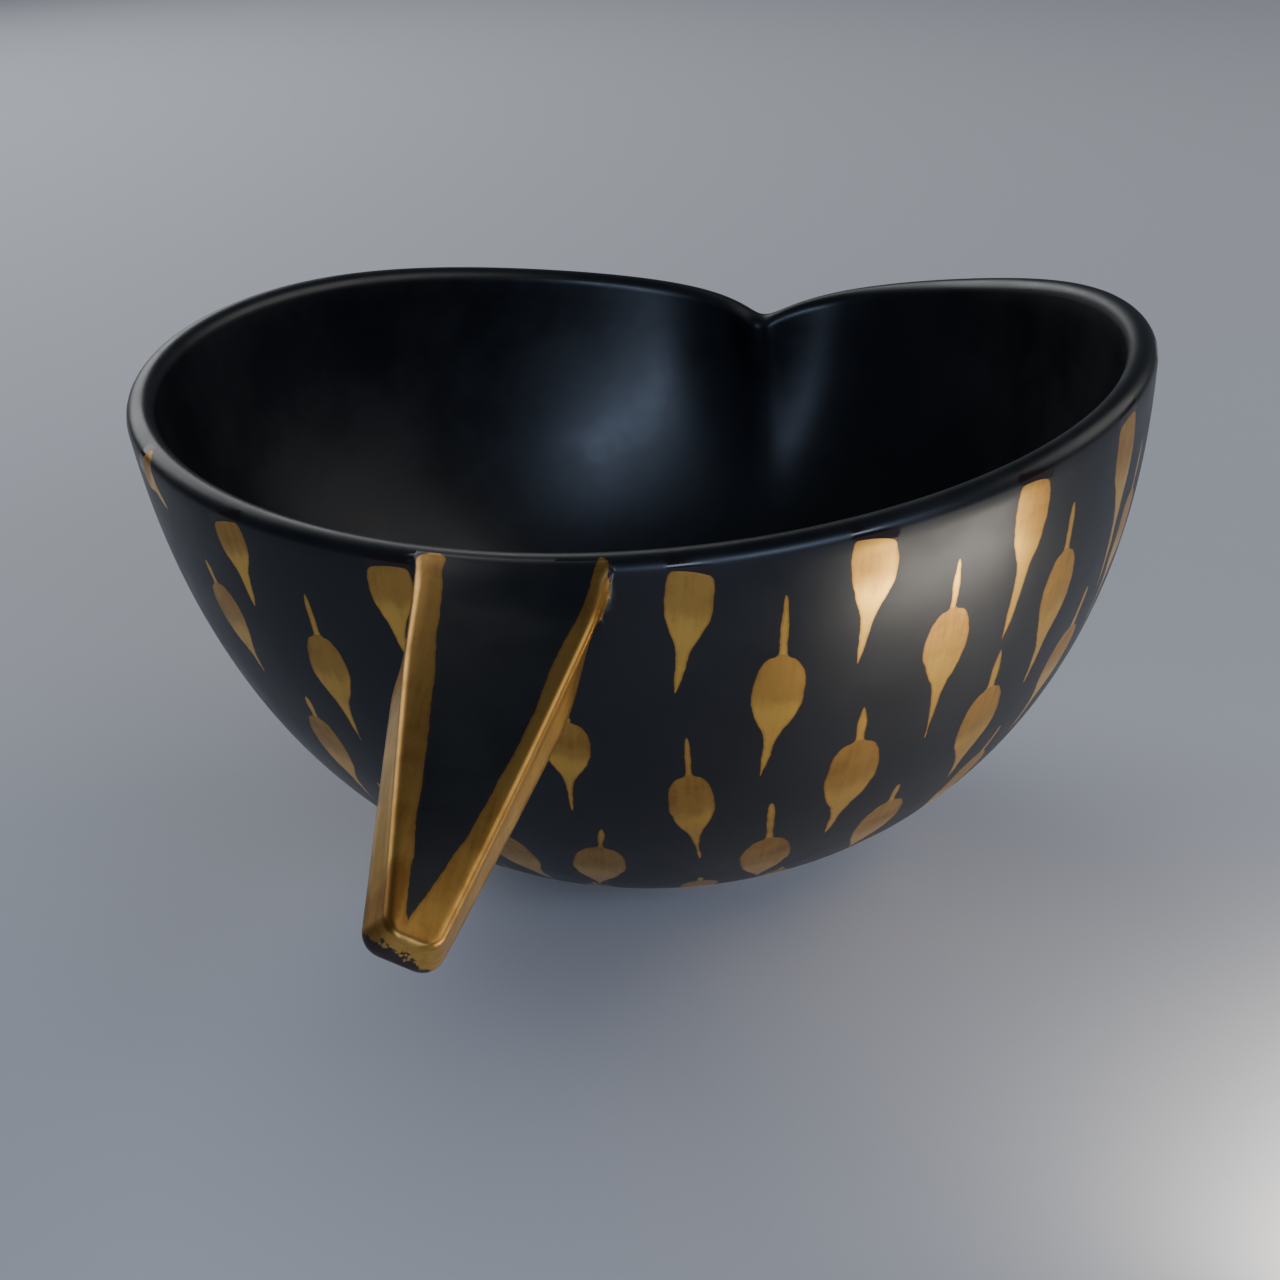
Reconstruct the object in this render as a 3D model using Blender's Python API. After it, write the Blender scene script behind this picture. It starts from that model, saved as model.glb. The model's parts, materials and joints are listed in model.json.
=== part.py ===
"""Ceramic bowl with a pinched rim and a tongue handle, as one closed solid.

Units are metres and +Z is up. The origin is the centre of the flat underside of the foot. The
handle points toward -Y and the notch in the rim is at +Y. An angle round the bowl is measured
from the front (-Y) and grows toward +X. A depth share runs from 0 at the lip to 1 at the table.
"""
import math

import bmesh
import bpy
from mathutils import Vector

# Plan of the lip, measured to its outside
RIM_RADIUS = 0.1044          # mean radius
FRONT_REACH = 0.0023         # the lip reaches further at the handle, and less at the notch
SHOULDER_FULLNESS = 0.0043   # fills out the lip either side of the front and of the notch
BODY_RADIUS = 0.1005         # radius that the round body takes below the pressed rim

# Heights above the table
RIM_HEIGHT = 0.1064          # mean height of the middle of the lip
SIDE_RISE = 0.0072           # the two side lobes stand up, the front and the back dip
FRONT_DIP = 0.0024           # the front dips more than the back
SHOULDER_RISE = 0.0009       # lifts the lip at the front and on the two back shoulders

# Clay
WALL = 0.0060                # thickness of the wall, and of the round lip
FLOOR = 0.0080               # thickness under the inside, at its middle
FULLNESS = 2.24              # exponent of the side profile: 2 is an ellipse, more is squarer
RIM_FADE = 1.7               # how soon the pressed plan goes back to a circle further down

# Foot
FOOT_RADIUS = 0.0310
FOOT_BEVEL = 0.0010

# Notch
NOTCH_DEPTH = 0.0158         # pressed in from the outside, at the lip
NOTCH_DIP = 0.0074           # the lip also drops there
NOTCH_HALF_ANGLE = math.radians(10.0)
NOTCH_SPREAD = 2.0           # the groove widens toward the floor
NOTCH_FADE = 1.1             # the groove shallows toward the floor
NOTCH_SHARPNESS = 0.75       # less than 1 flares the sides of the crease out wide
NOTCH_SOFTNESS = 0.20        # rounds the bottom of the crease

# Handle, a slab that leaves the lip and slopes down, its top level with the middle of the lip
HANDLE_TURN = math.radians(2.9)        # place of the root round the bowl
HANDLE_HEADING = math.radians(7.8)     # direction that it points in, seen from above
HANDLE_DROOP = math.radians(21.5)      # slope below the level
HANDLE_LENGTH = 0.0826
HANDLE_ROOT_WIDTH = 0.0354             # flat top, at the wall
HANDLE_TIP_WIDTH = 0.0093              # flat top, at the tip
HANDLE_THICKNESS = 0.0072
HANDLE_SPLAY = 0.0015                  # the edges lean out by this much, top to underside
HANDLE_EDGE = 0.0014                   # rounding of the long edges
HANDLE_TIP_ROUND = 0.0036              # rounding of the tip, seen from above
HANDLE_EDGE_SHARE = 0.9                # at the tip the rounding takes this share of half the width
HANDLE_ROOT_TWIST = math.radians(-2.0)
HANDLE_TIP_TWIST = math.radians(-32.5)
ROOT_FILLET = 0.0032                   # clay smoothed into the wall round the root
ROOT_FILLET_FOCUS = 4                  # power that keeps the clay to the two sides and the underside
ROOT_BLEND = 0.0250                    # the root's curved end straightens out over this length
ROOT_BURIED = 0.0030                   # how deep the root sits in the wall, before they are joined

# How finely the surfaces are divided
SEGMENTS = 80
SEGMENT_CROWDING = 0.65      # segments bunch up at the notch: 0 is even
OUTER_RINGS = 13
INNER_RINGS = 11
LIP_RINGS = 5
EDGE_STEPS = 3
HANDLE_RINGS = 10
FILLET_RINGS = 5
TIP_RINGS = 5
SLOPE_STEP = math.radians(0.5)         # half of the arc over which the wall's slope is measured
HALVINGS = 30                          # of the range in which the wall is looked for
SMOOTH_ANGLE = math.radians(40.0)      # edges sharper than this stay sharp

GLAZE_COLOR = (0.012, 0.013, 0.017, 1.0)
GLAZE_ROUGHNESS = 0.38


def clear_scene():
    """Remove every object of the scene."""
    for item in list(bpy.data.objects):
        bpy.data.objects.remove(item, do_unlink=True)


def direction(angle):
    """Level unit vector at an angle round the bowl."""
    return Vector((math.sin(angle), -math.cos(angle), 0.0))


def smooth_step(share):
    """Ease from 0 to 1 as share goes from 0 to 1."""
    share = min(max(share, 0.0), 1.0)
    return share * share * (3.0 - 2.0 * share)


def pinch(angle, depth):
    """Share of the notch's full depth that the wall is pressed in by."""
    half_angle = NOTCH_HALF_ANGLE * (1.0 + NOTCH_SPREAD * depth)
    reach = math.hypot((math.pi - abs(angle)) / half_angle, NOTCH_SOFTNESS)
    crease = math.exp(NOTCH_SOFTNESS ** NOTCH_SHARPNESS - reach ** NOTCH_SHARPNESS)
    return crease * (1.0 - depth) ** NOTCH_FADE


def rim_height(angle):
    """Height of the middle of the lip."""
    wave = SHOULDER_RISE * math.cos(3.0 * angle)
    wave -= FRONT_DIP * math.cos(angle) + SIDE_RISE * math.cos(2.0 * angle)
    return RIM_HEIGHT + wave - NOTCH_DIP * pinch(angle, 0.0)


def plan_radius(angle, depth):
    """Radius of the outside where the side profile is full, before the profile draws it in."""
    lobes = FRONT_REACH * math.cos(angle) - SHOULDER_FULLNESS * math.cos(3.0 * angle)
    pressed = RIM_RADIUS - BODY_RADIUS + lobes
    return BODY_RADIUS + pressed * (1.0 - depth) ** RIM_FADE


def profile(depth):
    """Radius of the side profile at a depth share, as a share of the full radius."""
    return (1.0 - min(depth, 1.0) ** FULLNESS) ** (1.0 / FULLNESS)


def outer_radius(angle, depth):
    """Radius of the outside at a depth share."""
    return plan_radius(angle, depth) * profile(depth) - NOTCH_DEPTH * pinch(angle, depth)


def wall_slant(angle, depth):
    """How much thicker the wall measures along the radius than squarely through it."""
    rise = outer_radius(angle + SLOPE_STEP, depth) - outer_radius(angle - SLOPE_STEP, depth)
    slope = rise / (2.0 * SLOPE_STEP) / max(outer_radius(angle, depth), WALL)
    return math.hypot(1.0, slope)


def outer_point(angle, depth):
    """Point of the outside of the body."""
    point = direction(angle) * outer_radius(angle, depth)
    point.z = rim_height(angle) * (1.0 - depth)
    return point


def inner_point(angle, share):
    """Point of the inside: share is 0 at the lip and 1 at the middle of the floor."""
    height = FLOOR + (rim_height(angle) - FLOOR) * (1.0 - share)
    depth = max(1.0 - height / rim_height(angle), 0.0)
    wall = WALL * (1.0 + (wall_slant(angle, depth) - 1.0) * (1.0 - share))
    radius = (plan_radius(angle, depth) - wall) * profile(share) - NOTCH_DEPTH * pinch(angle, depth)
    point = direction(angle) * radius
    point.z = height
    return point


def lip_point(angle, share):
    """Point of the round lip: share is 0 at the outside and 1 at the inside."""
    outside = outer_point(angle, 0.0)
    inside = inner_point(angle, 0.0)
    turn = math.pi * share
    point = outside.lerp(inside, 0.5 - 0.5 * math.cos(turn))
    point.z += 0.5 * WALL * math.sin(turn)
    return point


def segment_angles():
    """Angles of the segments, closer together at the notch."""
    angles = []
    for index in range(SEGMENTS):
        turn = math.pi * (2.0 * index / SEGMENTS - 1.0)
        angles.append(turn + SEGMENT_CROWDING * math.sin(turn))
    return angles


def body_rings():
    """Rings of points from the underside, up the outside, over the lip and down to the floor."""
    angles = segment_angles()
    rings = []
    for radius, height in ((FOOT_RADIUS - FOOT_BEVEL, 0.0), (FOOT_RADIUS, FOOT_BEVEL)):
        rings.append([direction(angle) * radius + Vector((0.0, 0.0, height)) for angle in angles])
    foot_turn = math.acos((FOOT_RADIUS / BODY_RADIUS) ** (FULLNESS / 2.0))
    for index in range(OUTER_RINGS):
        turn = foot_turn * (1.0 - index / (OUTER_RINGS - 1.0))
        depth = math.sin(turn) ** (2.0 / FULLNESS)
        rings.append([outer_point(angle, depth) for angle in angles])
    for index in range(1, LIP_RINGS + 1):
        share = index / (LIP_RINGS + 1.0)
        rings.append([lip_point(angle, share) for angle in angles])
    for index in range(INNER_RINGS):
        turn = 0.5 * math.pi * index / INNER_RINGS
        share = math.sin(turn) ** (2.0 / FULLNESS)
        rings.append([inner_point(angle, share) for angle in angles])
    return rings


def handle_section(half_width):
    """Outline of the slab as (across, down) pairs, going round from the top's left end."""
    top = half_width
    bottom = half_width + HANDLE_SPLAY
    edge = min(HANDLE_EDGE, HANDLE_EDGE_SHARE * half_width)
    corners = (
        (top - edge, edge, -0.5 * math.pi),
        (bottom - edge, HANDLE_THICKNESS - edge, 0.0),
        (edge - bottom, HANDLE_THICKNESS - edge, 0.5 * math.pi),
        (edge - top, edge, math.pi),
    )
    outline = []
    for across, down, start in corners:
        for index in range(EDGE_STEPS + 1):
            turn = start + 0.5 * math.pi * index / EDGE_STEPS
            outline.append((across + edge * math.cos(turn), down + edge * math.sin(turn)))
    return outline


def handle_axes(along):
    """Directions along, across and down the slab, at a distance from its root."""
    share = along / HANDLE_LENGTH
    twist = HANDLE_ROOT_TWIST + (HANDLE_TIP_TWIST - HANDLE_ROOT_TWIST) * share
    forward = direction(HANDLE_HEADING) * math.cos(HANDLE_DROOP)
    forward.z = -math.sin(HANDLE_DROOP)
    level = direction(HANDLE_HEADING + 0.5 * math.pi)
    upright = forward.cross(level)
    across = level * math.cos(twist) + upright * math.sin(twist)
    down = level * math.sin(twist) - upright * math.cos(twist)
    return forward, across, down


def handle_root():
    """Middle of the top of the slab where it leaves the wall."""
    return outer_point(HANDLE_TURN, 0.0)


def wall_gap(point):
    """Distance of a point from the outside of the body, along the radius."""
    angle = math.atan2(point.x, -point.y)
    depth = min(max(1.0 - point.z / rim_height(angle), 0.0), 1.0)
    return math.hypot(point.x, point.y) - outer_radius(angle, depth)


def wall_distance(point, forward):
    """How far forward a line through the point leaves the wall."""
    low = -HANDLE_ROOT_WIDTH
    high = HANDLE_ROOT_WIDTH
    for _ in range(HALVINGS):
        middle = 0.5 * (low + high)
        if wall_gap(point + forward * middle) > 0.0:
            high = middle
        else:
            low = middle
    return high


def fillet_offset(gap):
    """How far the clay of the root stands out beyond the slab, at a distance from the wall."""
    short = max(ROOT_FILLET - max(gap, 0.0), 0.0)
    return ROOT_FILLET - math.sqrt(ROOT_FILLET ** 2 - short ** 2)


def handle_half_width(along):
    """Half of the width of the flat top, with the tip rounded."""
    share = along / HANDLE_LENGTH
    half_width = 0.5 * (HANDLE_ROOT_WIDTH + (HANDLE_TIP_WIDTH - HANDLE_ROOT_WIDTH) * share)
    past = min(max(along - (HANDLE_LENGTH - HANDLE_TIP_ROUND), 0.0), HANDLE_TIP_ROUND)
    return half_width - HANDLE_TIP_ROUND + math.sqrt(HANDLE_TIP_ROUND ** 2 - past ** 2)


def handle_ring(along, gap):
    """Ring of points round the slab: gap moves it to or from the wall near the root."""
    forward, across, down = handle_axes(along)
    grow = fillet_offset(gap)
    hug = 1.0 - smooth_step(along / ROOT_BLEND)
    half_width = handle_half_width(along)
    ring = []
    for side, depth in handle_section(half_width):
        level = 2.0 * depth / HANDLE_THICKNESS - 1.0
        sideways = math.copysign(abs(side / half_width) ** ROOT_FILLET_FOCUS, side)
        outward = Vector((sideways, max(level, 0.0)))
        outward /= max(outward.length, 1.0)
        start = handle_root() + across * (side + outward.x * grow) + down * (depth + outward.y * grow)
        ring.append(start + forward * (along + wall_distance(start, forward) * hug))
    return ring


def handle_rings():
    """Rings of the handle from inside the wall out to the tip."""
    rings = [handle_ring(-ROOT_BURIED, 0.0)]
    for index in range(FILLET_RINGS):
        gap = ROOT_FILLET * (index / FILLET_RINGS) ** 2
        rings.append(handle_ring(gap, gap))
    straight_end = HANDLE_LENGTH - HANDLE_TIP_ROUND
    for index in range(HANDLE_RINGS):
        share = index / (HANDLE_RINGS - 1.0)
        along = ROOT_FILLET + (straight_end - ROOT_FILLET) * share
        rings.append(handle_ring(along, along))
    for index in range(1, TIP_RINGS + 1):
        turn = 0.5 * math.pi * index / TIP_RINGS
        along = straight_end + HANDLE_TIP_ROUND * math.sin(turn)
        rings.append(handle_ring(along, along))
    return rings


def loft(name, rings):
    """Closed object whose skin runs through the rings, with a flat face on each end."""
    mesh = bpy.data.meshes.new(name)
    shape = bmesh.new()
    loops = [[shape.verts.new(point) for point in ring] for ring in rings]
    count = len(rings[0])
    for lower, upper in zip(loops[:-1], loops[1:]):
        for index in range(count):
            after = (index + 1) % count
            shape.faces.new((lower[index], lower[after], upper[after], upper[index]))
    shape.faces.new(reversed(loops[0]))
    shape.faces.new(loops[-1])
    bmesh.ops.recalc_face_normals(shape, faces=shape.faces)
    shape.to_mesh(mesh)
    shape.free()
    return bpy.data.objects.new(name, mesh)


def glaze_material():
    """Satin black glaze."""
    material = bpy.data.materials.new("black_glaze")
    material.use_nodes = True
    shader = material.node_tree.nodes["Principled BSDF"]
    shader.inputs["Base Color"].default_value = GLAZE_COLOR
    shader.inputs["Roughness"].default_value = GLAZE_ROUGHNESS
    shader.inputs["Metallic"].default_value = 0.0
    return material


def new_collection(name):
    """Collection linked to the scene."""
    collection = bpy.data.collections.new(name)
    bpy.context.scene.collection.children.link(collection)
    return collection


def build():
    """Make the bowl and join the handle to it."""
    clear_scene()
    parts = new_collection("ceramic_bowl")
    joined = new_collection("joined_shapes")

    bowl = loft("bowl", body_rings())
    parts.objects.link(bowl)
    handle = loft("handle_clay", handle_rings())
    joined.objects.link(handle)
    handle.hide_render = True
    handle.display_type = "WIRE"

    union = bowl.modifiers.new("handle", "BOOLEAN")
    union.operation = "UNION"
    union.object = handle
    bowl.data.materials.append(glaze_material())
    bowl.data.shade_smooth()
    bowl.data.set_sharp_from_angle(angle=SMOOTH_ANGLE)


build()
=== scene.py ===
"""Ceramic bowl with a pinched rim, a tongue handle and brushed gold drops, in a small studio.

Units are metres and +Z is up. The origin is the centre of the flat underside of the foot. The
handle points toward -Y and the notch in the rim is at +Y. A turn round the bowl is measured from
the front (-Y) and grows toward +X. A depth share runs from 0 at the lip to 1 at the table.
"""

import json
import logging
import math
import random
from dataclasses import dataclass
from enum import Enum, IntEnum
from typing import Any, Sequence

import bmesh
import bpy
import numpy as np
from mathutils import Matrix, Quaternion, Vector

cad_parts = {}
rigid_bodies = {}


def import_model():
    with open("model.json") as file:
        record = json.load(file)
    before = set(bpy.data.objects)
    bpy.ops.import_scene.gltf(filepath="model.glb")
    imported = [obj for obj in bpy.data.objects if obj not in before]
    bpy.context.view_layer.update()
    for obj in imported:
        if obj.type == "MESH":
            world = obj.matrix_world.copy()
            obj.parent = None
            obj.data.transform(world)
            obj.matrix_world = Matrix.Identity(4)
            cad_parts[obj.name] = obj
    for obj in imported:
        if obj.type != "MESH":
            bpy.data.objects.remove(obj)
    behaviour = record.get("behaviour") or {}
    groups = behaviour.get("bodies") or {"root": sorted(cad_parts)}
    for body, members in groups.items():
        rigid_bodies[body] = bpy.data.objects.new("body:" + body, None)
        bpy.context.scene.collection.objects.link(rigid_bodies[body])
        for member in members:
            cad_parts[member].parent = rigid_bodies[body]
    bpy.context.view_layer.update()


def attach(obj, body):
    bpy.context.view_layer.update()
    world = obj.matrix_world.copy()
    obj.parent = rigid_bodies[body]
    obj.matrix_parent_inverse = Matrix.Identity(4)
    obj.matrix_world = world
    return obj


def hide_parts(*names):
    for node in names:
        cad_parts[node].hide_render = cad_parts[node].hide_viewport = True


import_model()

LOG = logging.getLogger("ceramic_bowl")
MILLIMETRE = 0.001
TINY = 1.0e-6
OUTER_LIP_SHARE = 0.4

Colour = tuple[float, float, float, float]
Triple = tuple[float, float, float]

FLOAT = "NodeSocketFloat"
COLOUR = "NodeSocketColor"
VECTOR = "NodeSocketVector"

# Values between which most of a noise lies, and the detail and roughness of a cloudy one.
NOISE_RANGE = (0.25, 0.75)
CLOUDY = (4.0, 0.6)

# Half width of a drop, as a share of its greatest, at shares of the way down. The stem, the body and
# the tail take up a third of the way each, however long they are.
LEAF_WIDTHS = (
    (0.0, 0.0), (0.05, 0.10), (0.15, 0.15), (0.31, 0.14), (0.333, 0.22), (0.345, 0.50), (0.37, 0.74),
    (0.42, 0.94), (0.48, 1.0), (0.55, 0.86), (0.61, 0.60), (0.667, 0.31), (0.72, 0.20), (0.85, 0.10),
    (1.0, 0.0),
)
BLUNT_WIDTHS = (
    (0.0, 0.0), (0.333, 0.0), (0.336, 0.55), (0.345, 0.80), (0.37, 0.93), (0.44, 1.0), (0.50, 0.94),
    (0.58, 0.68), (0.64, 0.42), (0.667, 0.33), (0.75, 0.24), (0.88, 0.16), (1.0, 0.0),
)


class Zone(IntEnum):
    """Zones of the body's skin, from the middle of the underside round to the middle of the floor."""

    UNDERSIDE = 0
    FOOT_EDGE = 1
    OUTSIDE = 2
    LIP = 3
    INSIDE = 4


class Surface(IntEnum):
    """Material slots of the bowl."""

    OUTSIDE = 0
    INSIDE = 1
    HANDLE = 2
    FOOT = 3


class StrokeKind(Enum):
    """How a painted drop begins: with a blunt head, or with a thin stem above a leaf."""

    BLUNT = 0.0
    LEAF = 1.0


def direction(turn: float) -> Vector:
    """Level unit vector at a turn round the bowl."""
    return Vector((math.sin(turn), -math.cos(turn), 0.0))


def smooth_step(share: float) -> float:
    """Ease from 0 to 1 as share goes from 0 to 1."""
    share = min(max(share, 0.0), 1.0)
    return share * share * (3.0 - 2.0 * share)


@dataclass(frozen=True)
class BowlForm:
    """Shape of the body: a round belly with a pressed lip and a notch."""

    rim_radius: float = 0.1043
    front_reach: float = 0.0023
    shoulder_fullness: float = 0.0043
    body_radius: float = 0.1005
    rim_height: float = 0.1063
    side_rise: float = 0.0072
    front_dip: float = 0.0024
    shoulder_rise: float = 0.0009
    wall: float = 0.0060
    floor: float = 0.0080
    fullness: float = 2.24
    rim_fade: float = 1.7
    foot_radius: float = 0.0310
    foot_bevel: float = 0.0010
    notch_depth: float = 0.0158
    notch_dip: float = 0.0074
    notch_half_angle: float = math.radians(10.0)
    notch_spread: float = 2.0
    notch_fade: float = 1.1
    notch_sharpness: float = 0.75
    notch_softness: float = 0.20
    centre_fade: float = 0.04
    slope_step: float = math.radians(0.5)

    def pinch(self, turn: float, depth: float) -> float:
        """Share of the notch's full depth that the wall is pressed in by."""
        half_angle = self.notch_half_angle * (1.0 + self.notch_spread * depth)
        reach = math.hypot((math.pi - abs(turn)) / half_angle, self.notch_softness)
        crease = math.exp(self.notch_softness ** self.notch_sharpness - reach ** self.notch_sharpness)
        return crease * (1.0 - depth) ** self.notch_fade

    def lip_height(self, turn: float) -> float:
        """Height of the middle of the lip."""
        wave = self.shoulder_rise * math.cos(3.0 * turn)
        wave -= self.front_dip * math.cos(turn) + self.side_rise * math.cos(2.0 * turn)
        return self.rim_height + wave - self.notch_dip * self.pinch(turn, 0.0)

    def plan_radius(self, turn: float, depth: float) -> float:
        """Radius of the outside where the side profile is full."""
        lobes = self.front_reach * math.cos(turn) - self.shoulder_fullness * math.cos(3.0 * turn)
        pressed = self.rim_radius - self.body_radius + lobes
        return self.body_radius + pressed * (1.0 - depth) ** self.rim_fade

    def profile(self, depth: float) -> float:
        """Radius of the side profile at a depth share, as a share of the full radius."""
        return (1.0 - min(depth, 1.0) ** self.fullness) ** (1.0 / self.fullness)

    def outside_radius(self, turn: float, depth: float) -> float:
        """Radius of the outside at a depth share."""
        pressed_in = self.notch_depth * self.pinch(turn, depth)
        return self.plan_radius(turn, depth) * self.profile(depth) - pressed_in

    def wall_slant(self, turn: float, depth: float) -> float:
        """How much thicker the wall measures along the radius than squarely through it."""
        ahead = self.outside_radius(turn + self.slope_step, depth)
        behind = self.outside_radius(turn - self.slope_step, depth)
        slope = (ahead - behind) / (2.0 * self.slope_step)
        return math.hypot(1.0, slope / max(self.outside_radius(turn, depth), self.wall))

    def outside(self, turn: float, depth: float) -> Vector:
        """Point of the outside of the body."""
        point = direction(turn) * self.outside_radius(turn, depth)
        point.z = self.lip_height(turn) * (1.0 - depth)
        return point

    def inside(self, turn: float, share: float) -> Vector:
        """Point of the inside: share is 0 at the lip and 1 at the middle of the floor."""
        lip = self.lip_height(turn)
        height = self.floor + (lip - self.floor) * (1.0 - share)
        depth = max(1.0 - height / lip, 0.0)
        wall = self.wall * (1.0 + (self.wall_slant(turn, depth) - 1.0) * (1.0 - share))
        radius = (self.plan_radius(turn, depth) - wall) * self.profile(share)
        pressed_in = self.notch_depth * self.pinch(turn, depth)
        pressed_in *= smooth_step((1.0 - share) / self.centre_fade)
        point = direction(turn) * (radius - pressed_in)
        point.z = height
        return point

    def lip(self, turn: float, share: float) -> Vector:
        """Point of the round lip: share is 0 at the outside and 1 at the inside."""
        bend = math.pi * share
        point = self.outside(turn, 0.0).lerp(self.inside(turn, 0.0), 0.5 - 0.5 * math.cos(bend))
        point.z += 0.5 * self.wall * math.sin(bend)
        return point

    def skin(self, turn: float, station: float) -> Vector:
        """Point of the body's skin.

        Args:
            turn: Angle round the bowl.
            station: Zone number plus the share of the way through that zone.

        Returns:
            The point in metres.
        """
        zone = min(int(station), int(Zone.INSIDE))
        share = station - zone
        flat = self.foot_radius - self.foot_bevel
        if zone == Zone.UNDERSIDE:
            return direction(turn) * (flat * share)
        if zone == Zone.FOOT_EDGE:
            bend = 0.5 * math.pi * share
            point = direction(turn) * (flat + self.foot_bevel * math.sin(bend))
            point.z = self.foot_bevel * (1.0 - math.cos(bend))
            return point
        if zone == Zone.OUTSIDE:
            start = math.acos((self.foot_radius / self.body_radius) ** (0.5 * self.fullness))
            return self.outside(turn, math.sin(start * (1.0 - share)) ** (2.0 / self.fullness))
        if zone == Zone.LIP:
            return self.lip(turn, share)
        return self.inside(turn, math.sin(0.5 * math.pi * share) ** (2.0 / self.fullness))

    def normal(self, turn: float, depth: float) -> Vector:
        """Outward unit normal of the outside."""
        step = self.slope_step
        round_it = self.outside(turn + step, depth) - self.outside(turn - step, depth)
        low = min(max(depth, step), 1.0 - 2.0 * step)
        up_it = self.outside(turn, low - step) - self.outside(turn, low + step)
        return round_it.cross(up_it).normalized()

    def wall_gap(self, point: Vector) -> float:
        """Distance of a point from the outside of the body or of its round lip, along the radius."""
        turn = math.atan2(point.x, -point.y)
        lip = self.lip_height(turn)
        radius = math.hypot(point.x, point.y)
        if point.z <= lip:
            return radius - self.outside_radius(turn, min(max(1.0 - point.z / lip, 0.0), 1.0))
        rise = min((point.z - lip) / (0.5 * self.wall), 1.0)
        return radius - self.lip(turn, math.asin(rise) / math.pi).xy.length


@dataclass(frozen=True)
class BowlBody:
    """Skin of the body, spun from its side profile and pressed to the form."""

    form: BowlForm
    segments: int = 360
    crowding: float = 0.5
    rings: tuple[int, ...] = (6, 4, 84, 14, 64)

    def stations(self) -> list[float]:
        """Stations of the rings, zone by zone."""
        stations = [zone + ring / self.rings[zone] for zone in Zone for ring in range(self.rings[zone])]
        return stations + [Zone.INSIDE + 1.0]

    def build(self, surfaces: Sequence[bpy.types.Material]) -> bpy.types.Object:
        """Make the body.

        Args:
            surfaces: One material for each Surface.

        Returns:
            The body, without its handle.
        """
        shape = bmesh.new()
        layer = shape.verts.layers.float.new("station")
        chain = []
        for station in self.stations():
            vert = shape.verts.new(self.form.skin(0.0, station))
            vert[layer] = station
            chain.append(vert)
        edges = [shape.edges.new(pair) for pair in zip(chain, chain[1:])]
        bmesh.ops.spin(
            shape, geom=chain + edges, cent=(0.0, 0.0, 0.0), axis=(0.0, 0.0, 1.0), dvec=(0.0, 0.0, 0.0),
            angle=2.0 * math.pi, steps=self.segments, use_merge=True, use_duplicate=False,
        )
        bmesh.ops.remove_doubles(shape, verts=shape.verts, dist=TINY)
        for vert in shape.verts:
            if vert.co.xy.length > TINY:
                turn = math.atan2(vert.co.x, -vert.co.y)
                vert.co = self.form.skin(turn + self.crowding * math.sin(turn), vert[layer])
        bmesh.ops.recalc_face_normals(shape, faces=shape.faces)
        for face in shape.faces:
            station = sum(vert[layer] for vert in face.verts) / len(face.verts)
            face.material_index = self.surface_of(station)
        return to_object(shape, "ceramic_bowl", surfaces)

    @staticmethod
    def surface_of(station: float) -> int:
        """Material slot of a place on the skin."""
        if station < Zone.OUTSIDE:
            return int(Surface.FOOT)
        return int(Surface.OUTSIDE if station < Zone.LIP + OUTER_LIP_SHARE else Surface.INSIDE)


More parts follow.
